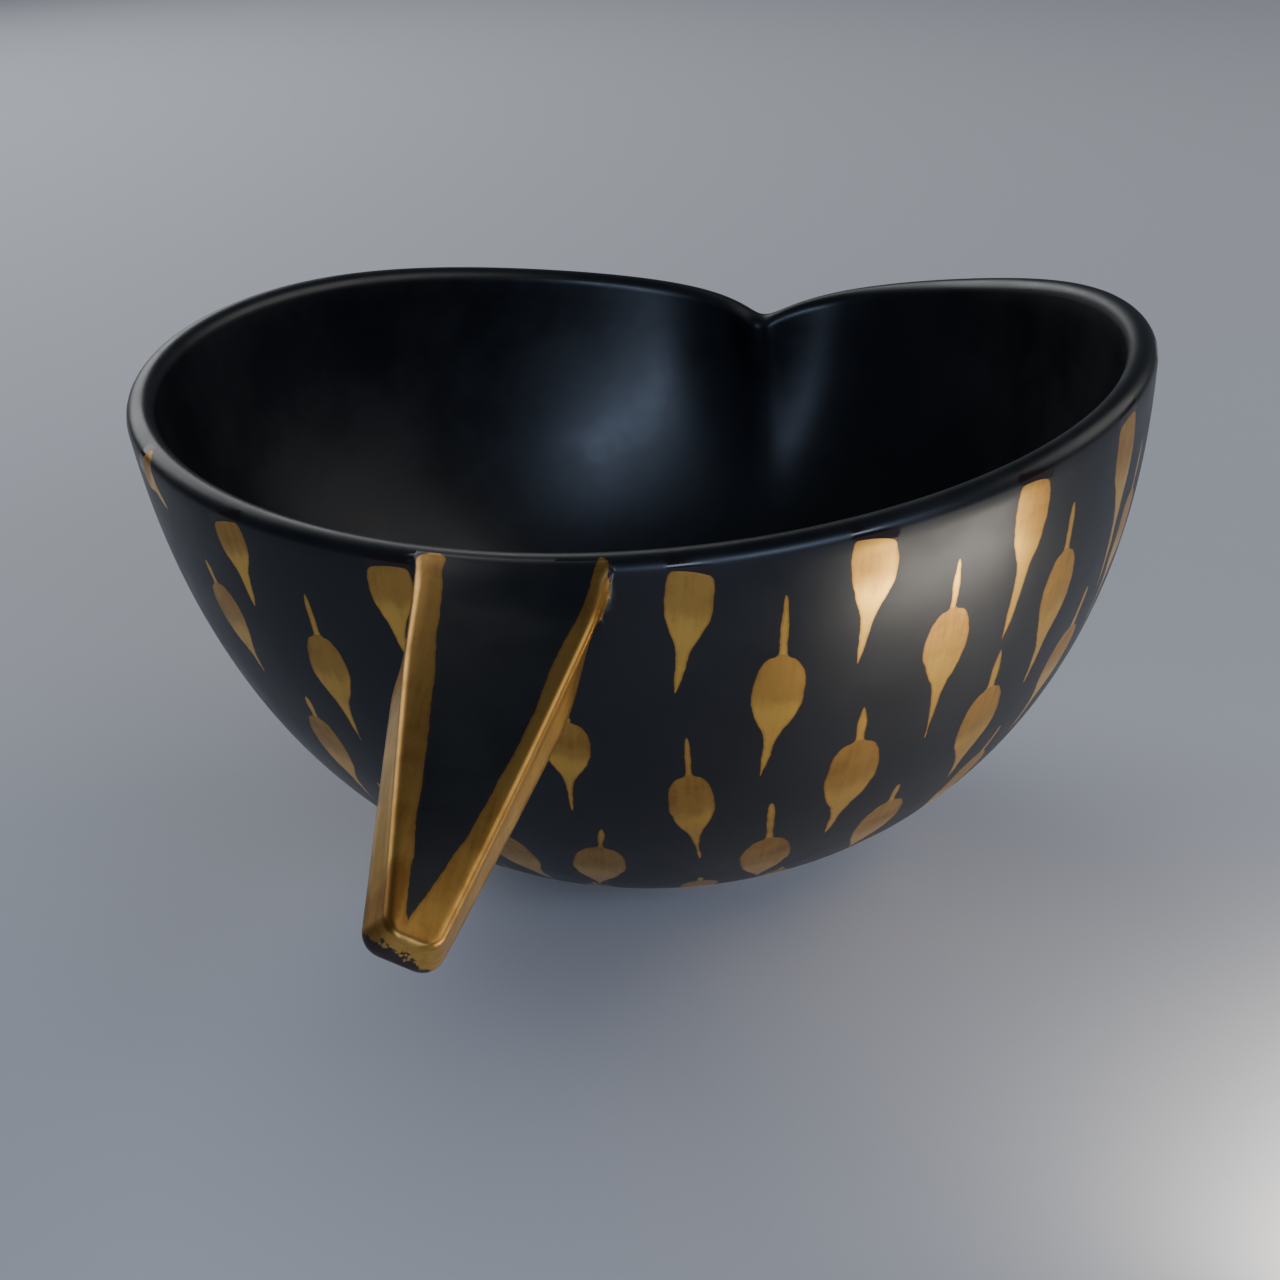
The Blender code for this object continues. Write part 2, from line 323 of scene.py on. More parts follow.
@dataclass(frozen=True)
class TongueHandle:
    """Tapered slab that leaves the lip at the front, slopes down and twists along its length."""

    form: BowlForm
    turn: float = math.radians(2.9)
    heading: float = math.radians(7.8)
    droop: float = math.radians(21.5)
    length: float = 0.0826
    root_width: float = 0.0354
    tip_width: float = 0.0093
    thickness: float = 0.0072
    splay: float = 0.0015
    edge: float = 0.0014
    edge_share: float = 0.9
    tip_round: float = 0.0036
    nose_round: float = 0.0016
    root_twist: float = math.radians(-2.0)
    tip_twist: float = math.radians(-32.5)
    side_fillet: float = 0.0008
    side_reach: float = 0.0030
    fillet_focus: int = 4
    root_tuck: float = 0.0020
    tuck_length: float = 0.0300
    top_fillet: float = 0.0026
    top_reach: float = 0.0100
    root_blend: float = 0.0250
    buried: float = 0.0020
    arc_steps: int = 5
    flat_steps: tuple[int, int, int, int] = (16, 4, 12, 4)
    fillet_rings: int = 9
    rings: int = 46
    tip_rings: int = 12

    def root(self) -> Vector:
        """Middle of the top of the slab where it leaves the wall."""
        return self.form.outside(self.turn, 0.0)

    def forward(self) -> Vector:
        """Direction from the root to the tip."""
        forward = direction(self.heading) * math.cos(self.droop)
        forward.z = -math.sin(self.droop)
        return forward

    def axes(self, along: float) -> tuple[Vector, Vector]:
        """Directions across and down the slab, at a distance from its root."""
        share = along / self.length
        twist = self.root_twist + (self.tip_twist - self.root_twist) * share
        level = direction(self.heading + 0.5 * math.pi)
        upright = self.forward().cross(level)
        across = level * math.cos(twist) + upright * math.sin(twist)
        down = level * math.sin(twist) - upright * math.cos(twist)
        return across, down

    def half_width(self, along: float) -> float:
        """Half of the width of the flat top, with the tip rounded."""
        share = along / self.length
        half_width = 0.5 * (self.root_width + (self.tip_width - self.root_width) * share)
        past = min(max(along - (self.length - self.tip_round), 0.0), self.tip_round)
        return half_width - self.tip_round + math.sqrt(self.tip_round ** 2 - past ** 2)

    def outline(self, along: float) -> list[tuple[float, float]]:
        """Outline of the slab as (across, down) pairs, going round from the top's right end."""
        half_width = self.half_width(along)
        top = half_width
        clear = smooth_step(along / self.tuck_length)
        bottom = half_width + self.splay * clear - self.root_tuck * (1.0 - clear)
        edge = min(self.edge, self.edge_share * half_width)
        low = self.thickness - edge
        corners = (
            (top - edge, edge, -0.5 * math.pi),
            (bottom - edge, low, 0.0),
            (edge - bottom, low, 0.5 * math.pi),
            (edge - top, edge, math.pi),
        )
        points: list[tuple[float, float]] = []
        for index, (across, down, start) in enumerate(corners):
            arc = []
            for step in range(self.arc_steps + 1):
                bend = start + 0.5 * math.pi * step / self.arc_steps
                arc.append((across + edge * math.cos(bend), down + edge * math.sin(bend)))
            if index:
                points += between(points[-1], arc[0], self.flat_steps[index])
            points += arc
        return points + between(points[-1], points[0], self.flat_steps[0])

    def place(self, across: float, down: float, along: float, gap: float) -> Vector:
        """Place a point of the outline.

        Args:
            across: Distance to the right of the slab's middle.
            down: Distance below its flat top.
            along: Distance of the ring from the root.
            gap: Distance of the ring from the wall, which sets how much clay is added at the root.

        Returns:
            The point, moved to or from the wall near the root so that the ring hugs the wall.
        """
        sunk = min(along, 0.0)
        along -= sunk
        ahead = direction(self.heading)
        level = 2.0 * down / self.thickness - 1.0
        lean = abs(across) / self.half_width(along)
        outward = Vector((math.copysign(lean ** self.fillet_focus, across), max(level, 0.0)))
        outward *= fillet(gap / self.side_reach) * self.side_fillet / max(outward.length, 1.0)
        sideways, downward = self.axes(along)
        start = self.root() + sideways * (across + outward.x) + downward * (down + outward.y)
        hug = 1.0 - smooth_step(along / self.root_blend)
        point = start + self.forward() * (along + self.wall_distance(start, self.forward()) * hug)
        room = self.form.lip_height(math.atan2(point.x, -point.y)) + self.top_fillet - point.z
        lift = fillet(gap / self.top_reach) * max(room, 0.0) * max(-level, 0.0)
        if lift > 0.0:
            raised = point + Vector((0.0, 0.0, lift))
            gained = self.wall_distance(raised, ahead) - self.wall_distance(point, ahead)
            point = raised + ahead * gained
        return point + ahead * sunk

    def wall_distance(self, point: Vector, ahead: Vector) -> float:
        """How far ahead of the point a line through it leaves the wall."""
        low, high = -self.root_width, self.root_width
        while high - low > TINY * MILLIMETRE:
            middle = 0.5 * (low + high)
            if self.form.wall_gap(point + ahead * middle) > 0.0:
                high = middle
            else:
                low = middle
        return high

    def ring_places(self) -> list[tuple[float, float, float]]:
        """Distance from the root, gap to the wall and nose inset of each ring."""
        places = [(-self.buried, 0.0, 0.0)]
        reach = self.top_reach
        for ring in range(self.fillet_rings):
            gap = reach * ((ring + 0.5) / self.fillet_rings) ** 2
            places.append((gap, gap, 0.0))
        straight = self.length - self.tip_round
        for ring in range(self.rings):
            along = reach + (straight - reach) * ring / (self.rings - 1.0)
            places.append((along, along, 0.0))
        for ring in range(1, self.tip_rings + 1):
            along = straight + self.tip_round * math.sin(0.5 * math.pi * ring / self.tip_rings)
            past = max(along - self.length + self.nose_round, 0.0)
            inset = self.nose_round - math.sqrt(max(self.nose_round ** 2 - past ** 2, 0.0))
            places.append((along, along, inset))
        return places

    def build(self, surfaces: Sequence[bpy.types.Material]) -> bpy.types.Object:
        """Make the handle, with its root buried in the wall.

        Args:
            surfaces: One material for each Surface.

        Returns:
            The handle.
        """
        shape = bmesh.new()
        layer = shape.verts.layers.int.new("outline_place")
        count = len(self.outline(0.0))
        ring = bmesh.ops.create_circle(shape, segments=count, radius=self.root_width)["verts"]
        for index, vert in enumerate(ring):
            vert[layer] = index
        edges = list(shape.edges)
        for number, (along, gap, inset) in enumerate(self.ring_places()):
            if number:
                made = bmesh.ops.extrude_edge_only(shape, edges=edges)["geom"]
                ring = [item for item in made if isinstance(item, bmesh.types.BMVert)]
                edges = [item for item in made if isinstance(item, bmesh.types.BMEdge)]
            outline = self.outline(max(along, 0.0))
            flatten = 1.0 - 2.0 * inset / self.thickness
            for vert in ring:
                across, down = outline[vert[layer]]
                down = (down - 0.5 * self.thickness) * flatten + 0.5 * self.thickness
                vert.co = self.place(across, down, along, gap)
        bmesh.ops.holes_fill(shape, edges=shape.edges, sides=count)
        bmesh.ops.recalc_face_normals(shape, faces=shape.faces)
        for face in shape.faces:
            face.material_index = int(Surface.HANDLE)
        return to_object(shape, "handle_clay", surfaces)

    def unplace(self, point: Vector) -> tuple[float, float, float]:
        """Distances of a point along, across and down the slab."""
        offset = point - self.root()
        along = offset.dot(self.forward())
        across, down = self.axes(along)
        return along, offset.dot(across), offset.dot(down)


def between(
    start: tuple[float, float], end: tuple[float, float], steps: int
) -> list[tuple[float, float]]:
    """Points that divide a straight line into steps, without its ends."""
    first, last = Vector(start), Vector(end)
    return [tuple(first.lerp(last, step / steps)) for step in range(1, steps)]


def fillet(share: float) -> float:
    """Quarter circle that falls from 1 to 0 as share goes from 0 to 1."""
    short = 1.0 - min(max(share, 0.0), 1.0)
    return 1.0 - math.sqrt(1.0 - short ** 2)


def write_vectors(mesh: bpy.types.Mesh, name: str, domain: str, values: np.ndarray) -> None:
    """Add a vector attribute to a mesh and fill it."""
    attribute = mesh.attributes.new(name, "FLOAT_VECTOR", domain)
    attribute.data.foreach_set("vector", values.astype(np.float32).ravel())


def to_object(
    shape: bmesh.types.BMesh, name: str, surfaces: Sequence[bpy.types.Material] = ()
) -> bpy.types.Object:
    """Turn a shape into a smooth object in the scene, and free the shape."""
    mesh = bpy.data.meshes.new(name)
    shape.to_mesh(mesh)
    shape.free()
    for surface in surfaces:
        mesh.materials.append(surface)
    mesh.shade_smooth()
    piece = bpy.data.objects.new(name, mesh)
    bpy.context.scene.collection.objects.link(piece)
    return piece


@dataclass(frozen=True)
class Stroke:
    """One painted drop on the outside of the bowl. Lengths are in metres."""

    head_turn: float
    head_depth: float
    end_turn: float
    end_depth: float
    width: float
    stem: float
    body: float
    kind: StrokeKind
    bend: float = 0.0
    seed: float = 0.0


@dataclass(frozen=True)
class PaintedRow:
    """Row of drops round the bowl: where it starts and ends, and the shape of its drops."""

    offset: float
    head_depth: float
    end_depth: float
    width: float
    stem: float
    body: float
    kind: StrokeKind
    placed: tuple[tuple[float, ...], ...]
    skipped: tuple[tuple[float, float], ...] = ()


@dataclass(frozen=True)
class PaintedDrops:
    """Pattern of brushed gold drops round the outside, row under row and staggered."""

    form: BowlForm
    columns: int = 21
    turn_jitter: float = math.radians(1.4)
    depth_jitter: float = 0.014
    width_jitter: float = 0.12
    lean_jitter: float = math.radians(1.2)
    room: float = 0.62
    seed: int = 7

    def rows(self) -> tuple[PaintedRow, ...]:
        """Rows from the lip down.

        A placed drop is (turn, depth, end turn, end depth, width, bend, stem share, body share), with
        turns in degrees and lengths in millimetres.
        """
        blunt, leaf = StrokeKind.BLUNT, StrokeKind.LEAF
        return (
            PaintedRow(
                3.0, 0.0, 0.26, 0.0086, 0.001, 0.58, blunt,
                (
                    (-49.0, 0.000, -44.0, 0.060, 7.5, 0.0, 0.001, 0.60),
                    (-31.5, 0.005, -30.0, 0.170, 8.6, 0.5, 0.001, 0.62),
                    (-10.5, 0.005, -10.0, 0.180, 9.1, 0.0, 0.001, 0.70),
                    (20.5, 0.005, 18.5, 0.245, 8.6, 0.5, 0.001, 0.62),
                    (38.0, 0.005, 37.0, 0.245, 8.8, 0.4, 0.001, 0.58),
                    (55.5, 0.005, 55.0, 0.305, 8.4, 0.4, 0.001, 0.56),
                    (71.5, 0.005, 76.0, 0.350, 9.0, 0.0, 0.001, 0.50),
                ),
                ((-9.5, 15.0),),
            ),
            PaintedRow(
                11.6, 0.10, 0.44, 0.0094, 0.25, 0.45, leaf,
                (
                    (-37.5, 0.120, -34.0, 0.340, 9.0, 0.4, 0.20, 0.60),
                    (-21.5, 0.100, -20.5, 0.425, 9.2, 0.3, 0.26, 0.48),
                    (29.5, 0.075, 27.5, 0.475, 9.4, 0.7, 0.29, 0.43),
                    (47.0, 0.090, 48.0, 0.475, 9.6, -0.6, 0.25, 0.42),
                    (62.0, 0.090, 63.5, 0.460, 9.2, 0.0, 0.24, 0.50),
                ),
                ((-14.0, 22.0),),
            ),
            PaintedRow(
                3.0, 0.33, 0.64, 0.0095, 0.24, 0.46, leaf,
                (
                    (-27.0, 0.355, -29.0, 0.640, 8.9, 0.3, 0.16, 0.54),
                    (7.0, 0.290, 5.5, 0.525, 9.0, 0.0, 0.05, 0.55),
                    (19.5, 0.345, 21.0, 0.695, 8.6, -0.5, 0.25, 0.47),
                    (38.5, 0.345, 39.0, 0.690, 10.6, 0.5, 0.22, 0.52),
                    (55.5, 0.330, 59.0, 0.665, 9.8, -0.5, 0.24, 0.52),
                ),
            ),
            PaintedRow(
                11.6, 0.56, 0.83, 0.0092, 0.20, 0.52, leaf,
                (
                    (8.5, 0.580, 3.0, 0.825, 10.0, 0.0, 0.22, 0.62),
                    (29.5, 0.545, 32.5, 0.840, 10.0, 0.0, 0.33, 0.55),
                    (47.5, 0.590, 50.0, 0.815, 9.6, 0.0, 0.20, 0.66),
                ),
            ),
            PaintedRow(3.0, 0.80, 0.93, 0.0070, 0.12, 0.62, leaf, ()),
        )

    def strokes(self) -> list[Stroke]:
        """Every drop of the pattern: the placed ones, and the rest by rule with small seeded errors."""
        draw = random.Random(self.seed)
        strokes = []
        pitch = 360.0 / self.columns
        for row in self.rows():
            for turn, depth, end_turn, end_depth, width, bend, stem, body in row.placed:
                strokes.append(
                    Stroke(
                        math.radians(turn), depth, math.radians(end_turn), end_depth,
                        width * MILLIMETRE, stem, body, row.kind, bend * MILLIMETRE, draw.random(),
                    )
                )
            for column in range(self.columns):
                turn = (row.offset + pitch * column + 180.0) % 360.0 - 180.0
                errors = [draw.uniform(-1.0, 1.0) for _ in range(5)]
                mark = draw.random()
                taken = any(abs(turn - placed[0]) < self.room * pitch for placed in row.placed)
                if taken or any(low < turn < high for low, high in row.skipped):
                    continue
                start = math.radians(turn) + self.turn_jitter * errors[0]
                strokes.append(
                    Stroke(
                        start, max(row.head_depth + self.depth_jitter * errors[1], 0.0),
                        start + self.lean_jitter * errors[2], row.end_depth + self.depth_jitter * errors[3],
                        row.width * (1.0 + self.width_jitter * errors[4]), row.stem, row.body, row.kind,
                        seed=mark,
                    )
                )
        return strokes

    def paint(self, mesh: bpy.types.Mesh) -> None:
        """Write where each corner of the outside lies in its nearest drop.

        The corner attribute "stroke" holds the share of the way down the drop, the distance across
        it in millimetres and half of its width in millimetres. The corner attribute "stroke_look"
        holds its seed, its kind and its length in millimetres. The corner attribute "stroke_form"
        holds the shares of the way at which the body starts and ends, and the bend in millimetres.
        """
        strokes = self.strokes()
        heads, axes, sides, lengths = [], [], [], []
        for stroke in strokes:
            head = self.form.outside(stroke.head_turn, stroke.head_depth)
            line = self.form.outside(stroke.end_turn, stroke.end_depth) - head
            middle = 0.5 * (stroke.head_depth + stroke.end_depth)
            normal = self.form.normal(0.5 * (stroke.head_turn + stroke.end_turn), middle)
            heads.append(head)
            axes.append(line.normalized())
            sides.append(normal.cross(line).normalized())
            lengths.append(line.length)
        head_table, axis_table, side_table = (np.array(rows) for rows in (heads, axes, sides))
        length_table = np.array(lengths)

        points = np.empty(3 * len(mesh.vertices))
        mesh.vertices.foreach_get("co", points)
        points = points.reshape(-1, 3)
        along = (points @ axis_table.T) - (head_table * axis_table).sum(axis=1)
        across = (points @ side_table.T) - (head_table * side_table).sum(axis=1)
        offsets = np.linalg.norm(points[:, None, :] - head_table[None, :, :], axis=2)
        past = along - np.clip(along, 0.0, length_table)
        off_plane = np.sqrt(np.maximum(offsets ** 2 - along ** 2 - across ** 2, 0.0))
        distance = np.sqrt(past ** 2 + across ** 2 + off_plane ** 2)

        place, look, parts = (np.zeros((len(mesh.loops), 3)) for _ in range(3))
        for face in mesh.polygons:
            if face.material_index != Surface.OUTSIDE:
                continue
            nearest = int(distance[list(face.vertices)].sum(axis=0).argmin())
            stroke = strokes[nearest]
            for loop, vertex in zip(face.loop_indices, face.vertices):
                share = along[vertex, nearest] / length_table[nearest]
                place[loop] = share, across[vertex, nearest] / MILLIMETRE, 0.5 * stroke.width / MILLIMETRE
                look[loop] = stroke.seed, stroke.kind.value, lengths[nearest] / MILLIMETRE
                parts[loop] = stroke.stem, stroke.stem + stroke.body, stroke.bend / MILLIMETRE
        write_vectors(mesh, "stroke", "CORNER", place)
        write_vectors(mesh, "stroke_look", "CORNER", look)
        write_vectors(mesh, "stroke_form", "CORNER", parts)


@dataclass(frozen=True)
class HandleBorders:
    """Gold borders along both edges of the handle, in metres.

    They leave a black wedge on the flat top. The places where its sides are given are evenly
    spaced from the root to the wedge's point. At the root they run up onto the lip, as far as
    lip_reach below its middle and crest behind it, and end with rounded corners.
    """

    handle: TongueHandle
    wedge_length: float = 0.0795
    wedge_left: tuple[float, ...] = (-0.0119, -0.0092, -0.0063, -0.0041, -0.0018)
    wedge_right: tuple[float, ...] = (0.0152, 0.0112, 0.0086, 0.0040, -0.0016)
    start: float = -0.0058
    corner: float = 0.0026
    above: float = 1.07
    underside: float = 0.0012
    lip_reach: float = 0.0040
    beside: float = 0.0009
    overhang: float = -0.0002
    flare: float = 0.0002
    root_zone: float = 0.0020
    crest: float = 0.0005

    def claim_lip(self, mesh: bpy.types.Mesh) -> None:
        """Give the handle's surface to the part of the lip that the borders run up onto."""
        form = self.handle.form
        half_width = 0.5 * self.handle.root_width + self.beside
        for face in mesh.polygons:
            if face.material_index == Surface.HANDLE or face.center.y > 0.0:
                continue
            _, across, _ = self.handle.unplace(face.center)
            turn = math.atan2(face.center.x, -face.center.y)
            outer = face.center.xy.length > form.lip(turn, 0.5).xy.length - self.crest
            high = face.center.z > form.lip_height(turn) - self.lip_reach
            if outer and high and abs(across) < half_width:
                face.material_index = int(Surface.HANDLE)

    def paint(self, mesh: bpy.types.Mesh) -> None:
        """Write how far each point of the handle lies outside the gold, and where it is on the slab.

        The vertex attribute "slab" holds the distance outside the gold, the distance down from the
        flat top and the distance along from the root, in millimetres. The first number of the vertex
        attribute "slab_side" is the distance across the slab in millimetres.
        """
        slab, side = (np.zeros((len(mesh.vertices), 3)) for _ in range(2))
        glazed = (face for face in mesh.polygons if face.material_index == Surface.HANDLE)
        touched = {vertex for face in glazed for vertex in face.vertices}
        for vertex in touched:
            along, across, down = self.handle.unplace(mesh.vertices[vertex].co)
            outside = self.distance_outside(along, across, down)
            slab[vertex] = outside / MILLIMETRE, down / MILLIMETRE, along / MILLIMETRE
            side[vertex, 0] = across / MILLIMETRE
        write_vectors(mesh, "slab", "POINT", slab)
        write_vectors(mesh, "slab_side", "POINT", side)

    def wedge(self, along: float) -> tuple[float, float]:
        """Places across the slab of the wedge's left and right sides."""
        steps = len(self.wedge_left) - 1
        reach = min(max(along / self.wedge_length, 0.0), 1.0) * steps
        index = min(int(reach), steps - 1)
        share = reach - index
        left, right = (
            sides[index] + (sides[index + 1] - sides[index]) * share
            for sides in (self.wedge_left, self.wedge_right)
        )
        return left, right

    def distance_outside(self, along: float, across: float, down: float) -> float:
        """How far a point of the slab lies outside the gold: negative is inside it."""
        half_width = self.handle.half_width(min(along, self.handle.length)) + self.handle.splay
        if down > self.handle.thickness - 0.5 * self.handle.edge:
            return min(half_width - abs(across), self.handle.length - along) - self.underside
        left, right = self.wedge(along)
        outside = min(across - left, right - across, self.wedge_length - along)
        seen_along = along + self.above * min(down, 0.0)
        if along < self.root_zone:
            outside = max(outside, abs(across) - self.handle.half_width(0.0) - self.overhang)
        elif down > self.handle.edge:
            return max(outside, abs(across) - half_width - self.flare)
        behind = self.start - seen_along
        corner = self.corner
        if outside > -corner and behind > -corner:
            return math.hypot(outside + corner, behind + corner) - corner
        return max(outside, behind)


class NodeSheet:
    """A node tree with short calls that add nodes and feed their sockets."""

    def __init__(self, tree: bpy.types.NodeTree) -> None:
        self.tree = tree

    def feed(self, socket: bpy.types.NodeSocket, value: Any) -> None:
        """Link a socket to the input, or set the input to a constant."""
        if isinstance(value, bpy.types.NodeSocket):
            self.tree.links.new(value, socket)
        else:
            socket.default_value = value

    def add(self, kind: str, inputs: dict[Any, Any] | None = None, **settings: Any) -> bpy.types.Node:
        """Add a node, apply its settings and feed its inputs."""
        node = self.tree.nodes.new(kind)
        for name, value in settings.items():
            setattr(node, name, value)
        for name, value in (inputs or {}).items():
            self.feed(node.inputs[name], value)
        return node

    def use(self, group: bpy.types.NodeTree, inputs: dict[Any, Any] | None = None) -> Any:
        """Outputs of a group placed in the tree, with its inputs fed."""
        return self.add("ShaderNodeGroup", inputs, node_tree=group).outputs

    def calc(self, operation: str, first: Any, second: Any = 0.0) -> bpy.types.NodeSocket:
        """Result of a math node."""
        return self.add("ShaderNodeMath", {0: first, 1: second}, operation=operation).outputs[0]

    def plus(self, first: Any, second: Any) -> bpy.types.NodeSocket:
        """Sum of two values."""
        return self.calc("ADD", first, second)

    def minus(self, first: Any, second: Any) -> bpy.types.NodeSocket:
        """Difference of two values."""
        return self.calc("SUBTRACT", first, second)

    def times(self, first: Any, second: Any) -> bpy.types.NodeSocket:
        """Product of two values."""
        return self.calc("MULTIPLY", first, second)

    def ramp(
        self, value: Any, low: Any, high: Any, start: Any = 0.0, end: Any = 1.0
    ) -> bpy.types.NodeSocket:
        """Smooth change from start to end as value goes from low to high."""
        inputs = {"Value": value, "From Min": low, "From Max": high, "To Min": start, "To Max": end}
        node = self.add("ShaderNodeMapRange", inputs, interpolation_type="SMOOTHSTEP")
        return node.outputs["Result"]

    def span(self, value: Any, low: Any, high: Any) -> bpy.types.NodeSocket:
        """Share of the way from low to high, held to 0 and 1."""
        node = self.add("ShaderNodeMapRange", {"Value": value, "From Min": low, "From Max": high})
        return node.outputs["Result"]

    def mix(self, share: Any, first: Any, second: Any) -> bpy.types.NodeSocket:
        """Mix of two colours."""
        node = self.add("ShaderNodeMix", {0: share, 6: first, 7: second}, data_type="RGBA")
        return node.outputs[2]

    def blend(self, share: Any, first: Any, second: Any) -> bpy.types.NodeSocket:
        """Mix of two numbers."""
        node = self.add("ShaderNodeMix", {0: share, 2: first, 3: second}, data_type="FLOAT")
        return node.outputs[0]

    def noise(
        self, place: Any, scale: float, detail: float = 2.0, roughness: float = 0.5
    ) -> bpy.types.NodeSocket:
        """Noise value at a place."""
        inputs = {"Vector": place, "Scale": scale, "Detail": detail, "Roughness": roughness}
        return self.add("ShaderNodeTexNoise", inputs).outputs["Fac"]

    def bump(self, height: Any, distance: float) -> bpy.types.NodeSocket:
        """Normal bent by a height."""
        return self.add("ShaderNodeBump", {"Height": height, "Distance": distance}).outputs["Normal"]

    def place(self) -> bpy.types.NodeSocket:
        """Object coordinates."""
        return self.add("ShaderNodeTexCoord").outputs["Object"]

    def parts(self, attribute: str) -> list[bpy.types.NodeSocket]:
        """The three numbers of a vector attribute."""
        source = self.add("ShaderNodeAttribute", attribute_name=attribute).outputs["Vector"]
        split = self.add("ShaderNodeSeparateXYZ", {0: source})
        return [split.outputs[index] for index in range(3)]

    def vector(self, first: Any, second: Any, third: Any) -> bpy.types.NodeSocket:
        """Vector of three numbers."""
        return self.add("ShaderNodeCombineXYZ", {0: first, 1: second, 2: third}).outputs[0]

    def curve(self, value: Any, points: Sequence[tuple[float, float]]) -> bpy.types.NodeSocket:
        """Value run through a curve."""
        node = self.add("ShaderNodeFloatCurve", {"Value": value})
        line = node.mapping.curves[0]
        line.points[0].location = points[0]
        line.points[1].location = points[-1]
        for point in points[1:-1]:
            line.points.new(*point)
        node.mapping.update()
        return node.outputs[0]


def new_group(
    name: str, inputs: Sequence[tuple[str, str]], outputs: Sequence[tuple[str, str]]
) -> tuple[NodeSheet, Any, Any]:
    """Start a shader node group.

    Args:
        name: Name of the group.
        inputs: Name and socket type of each input.
        outputs: Name and socket type of each output.

    Returns:
        The sheet of the group's tree, its input node's outputs and its output node's inputs.
    """
    tree = bpy.data.node_groups.new(name, "ShaderNodeTree")
    for label, kind in inputs:
        tree.interface.new_socket(label, in_out="INPUT", socket_type=kind)
    for label, kind in outputs:
        tree.interface.new_socket(label, in_out="OUTPUT", socket_type=kind)
    sheet = NodeSheet(tree)
    return sheet, sheet.add("NodeGroupInput").outputs, sheet.add("NodeGroupOutput").inputs


@dataclass(frozen=True)
class BlackGlaze:
    """Satin near-black glaze with faint mottling and a fine grain."""

    deep: Colour = (0.0026, 0.0032, 0.0046, 1.0)
    pale: Colour = (0.0062, 0.0070, 0.0088, 1.0)
    rough_low: float = 0.33
    rough_high: float = 0.43
    mottle_scale: float = 40.0
    grain_scale: float = 260.0
    bump: float = 0.00002
    mottle_range: tuple[float, float] = (0.35, 0.75)
    rough_range: tuple[float, float] = (0.3, 0.7)

    def group(self) -> bpy.types.NodeTree:
        """Shared group: colour, roughness and grained normal of the glaze."""
        sheet, _, out = new_group(
            "black_glaze", (), (("Colour", COLOUR), ("Roughness", FLOAT), ("Normal", VECTOR))
        )
        place = sheet.place()
        mottle = sheet.noise(place, self.mottle_scale, *CLOUDY)
        sheet.feed(out["Colour"], sheet.mix(sheet.ramp(mottle, *self.mottle_range), self.deep, self.pale))
        rough = sheet.ramp(mottle, *self.rough_range, self.rough_low, self.rough_high)
        sheet.feed(out["Roughness"], rough)
        sheet.feed(out["Normal"], sheet.bump(sheet.noise(place, self.grain_scale, 2.0), self.bump))
        return sheet.tree


@dataclass(frozen=True)
class GoldLustre:
    """Brushed gold lustre, browner where it is thin, with faint clouds and streaks."""

    bright: Colour = (0.80, 0.47, 0.105, 1.0)
    middle: Colour = (0.52, 0.290, 0.072, 1.0)
    thin: Colour = (0.29, 0.137, 0.032, 1.0)
    rough_thick: float = 0.30
    rough_thin: float = 0.42
    mottle_scale: float = 130.0
    mottle: float = 0.16
    streak: float = 0.08
    middle_load: float = 0.5
    bright_load: float = 1.1

    def group(self) -> bpy.types.NodeTree:
        """Shared group: colour and roughness of the gold, given its load and the brush's path."""
        sheet, given, out = new_group(
            "gold_lustre", (("Load", FLOAT), ("Across", FLOAT), ("Along", FLOAT), ("Layer", FLOAT)),
            (("Colour", COLOUR), ("Roughness", FLOAT)),
        )
        path = sheet.vector(given["Across"], given["Along"], given["Layer"])
        streak = sheet.ramp(sheet.noise(path, 1.0, 2.0), *NOISE_RANGE, -self.streak, self.streak)
        cloud = sheet.noise(sheet.place(), self.mottle_scale, *CLOUDY)
        load = sheet.plus(given["Load"], sheet.ramp(cloud, *NOISE_RANGE, -self.mottle, self.mottle))
        load = sheet.plus(load, streak)
        low = sheet.mix(sheet.ramp(load, 0.0, self.middle_load), self.thin, self.middle)
        high = sheet.ramp(load, self.middle_load, self.bright_load)
        sheet.feed(out["Colour"], sheet.mix(high, low, self.bright))
        sheet.feed(out["Roughness"], sheet.ramp(load, 0.0, 1.0, self.rough_thin, self.rough_thick))
        return sheet.tree


@dataclass(frozen=True)
class BrushEdge:
    """How the edge of the painted gold wanders, and the burnt line round it, in millimetres."""

    wander_scale: float = 130.0
    wander: float = 0.25
    nick_scale: float = 700.0
    nick: float = 0.07
    soft: float = 0.10
    line: float = 0.55
    rim: float = 0.45
    noise_range: tuple[float, float] = (0.2, 0.8)

    def group(self) -> bpy.types.NodeTree:
        """Shared group: masks of the gold, its burnt line and its rim, given the distance inside."""
        sheet, given, out = new_group(
            "brush_edge", (("Inside", FLOAT),), (("Gold", FLOAT), ("Burnt", FLOAT), ("Rim", FLOAT))
        )
        place = sheet.place()
        inside = given["Inside"]
        for scale, reach in ((self.wander_scale, self.wander), (self.nick_scale, self.nick)):
            waver = sheet.ramp(sheet.noise(place, scale, 1.0), *self.noise_range, -reach, reach)
            inside = sheet.plus(inside, waver)
        sheet.feed(out["Gold"], sheet.ramp(inside, -self.soft, self.soft))
        sheet.feed(out["Burnt"], sheet.ramp(inside, -self.line, -self.soft))
        sheet.feed(out["Rim"], sheet.ramp(inside, self.rim, 0.5 * self.rim))
        return sheet.tree


